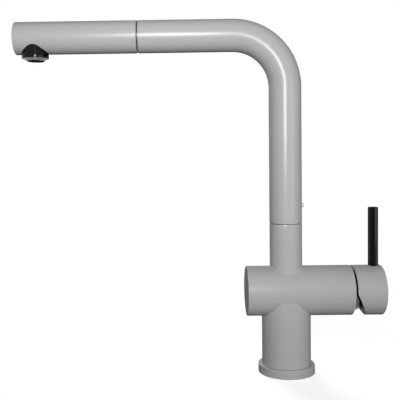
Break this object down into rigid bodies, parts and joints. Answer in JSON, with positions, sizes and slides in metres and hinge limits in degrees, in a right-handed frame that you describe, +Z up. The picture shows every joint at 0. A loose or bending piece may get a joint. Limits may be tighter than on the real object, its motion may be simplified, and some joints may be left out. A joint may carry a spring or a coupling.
{
  "type": "pull-out mixer tap",
  "caption": "Single-lever deck tap with an L-shaped swivel spout, a pull-out end with a hose, and a side lever on a cross barrel.",
  "frame": {"origin": "centre of the base ring's underside, where the tap stands on the worktop", "axes": "+Z up along the column, -X along the spout as pictured, +X towards the lever, -Y towards the user"},
  "size_m": [0.3282, 0.051, 0.3201],
  "materials": {
    "light_grey_lacquer": "satin",
    "black_lacquer": "gloss",
    "dark_chrome": "gloss",
    "brass": "machined",
    "stainless_steel": "machined",
    "black_plastic": "fine grain",
    "white_plastic": "smooth",
    "alumina": "polished",
    "black_rubber": "smooth",
    "grey_braid": "braided nylon"
  },
  "bodies": {
    "tap_body": {"base_ring": "light_grey_lacquer", "deck_seal": "black_rubber", "body_casting": "light_grey_lacquer", "barrel_end_cap": "light_grey_lacquer", "end_cap_seal": "black_rubber", "swivel_stem": "brass", "lower_glide_ring": "white_plastic", "upper_glide_ring": "white_plastic", "joint_washer": "black_plastic", "cartridge_base": "white_plastic", "port_seals": "black_rubber", "fixed_disc": "alumina", "cartridge_housing": "white_plastic", "cartridge_nut": "brass", "trim_ring": "dark_chrome"},
    "spout": {"spout_tube": "light_grey_lacquer", "spout_socket": "brass", "spout_grub_screw": "stainless_steel", "docking_collar": "black_plastic", "pullout_hose": "grey_braid"},
    "handset": {"handset_shell": "light_grey_lacquer", "handset_core": "white_plastic", "handset_end_cap": "light_grey_lacquer", "hose_connector": "brass", "connector_seal": "black_rubber", "valve_housing": "white_plastic", "outlet_nozzle": "dark_chrome", "nozzle_seal": "black_rubber", "aerator_housing": "black_plastic", "aerator_screen": "white_plastic"},
    "non_return_poppet": {"valve_poppet": "white_plastic"},
    "temperature_carrier": {"cartridge_driver": "white_plastic", "pivot_pin": "stainless_steel"},
    "handle": {"lever_stem": "brass", "handle_cap": "light_grey_lacquer", "lever_rod": "black_lacquer", "handle_grub_screw": "stainless_steel"},
    "flow_disc": {"disc_slider": "white_plastic", "moving_disc": "alumina"}
  },
  "joints": [
    {"name": "spout_swivel", "type": "hinge", "parent": "tap_body", "child": "spout", "pos_m": [0, 0, 0.15], "axis": [0, 0, 1], "range_deg": [0, 180]},
    {"name": "handset_pull", "type": "slide", "parent": "spout", "child": "handset", "axis": [-1, 0, 0], "range_m": [0, 0.4], "deforming": ["pullout_hose"]},
    {"name": "non_return_lift", "type": "slide", "parent": "handset", "child": "non_return_poppet", "axis": [-1, 0, 0], "range_m": [0, 0.0025], "stiffness_N_per_m": 80, "springref_m": -0.004},
    {"name": "lever_turn", "type": "hinge", "parent": "tap_body", "child": "temperature_carrier", "pos_m": [0.055, 0, 0.0743], "axis": [1, 0, 0], "range_deg": [-45, 45]},
    {"name": "lever_tilt", "type": "hinge", "parent": "temperature_carrier", "child": "handle", "pos_m": [0.055, 0, 0.0743], "axis": [0, 1, 0], "range_deg": [0, 22]},
    {"name": "disc_slide", "type": "slide", "parent": "temperature_carrier", "child": "flow_disc", "axis": [0, 0, 1], "range_m": [0, 0.00527]}
  ],
  "couplings": [
    {"joint": "disc_slide", "follows": "lever_tilt", "m_per_rad": 0.0137}
  ]
}
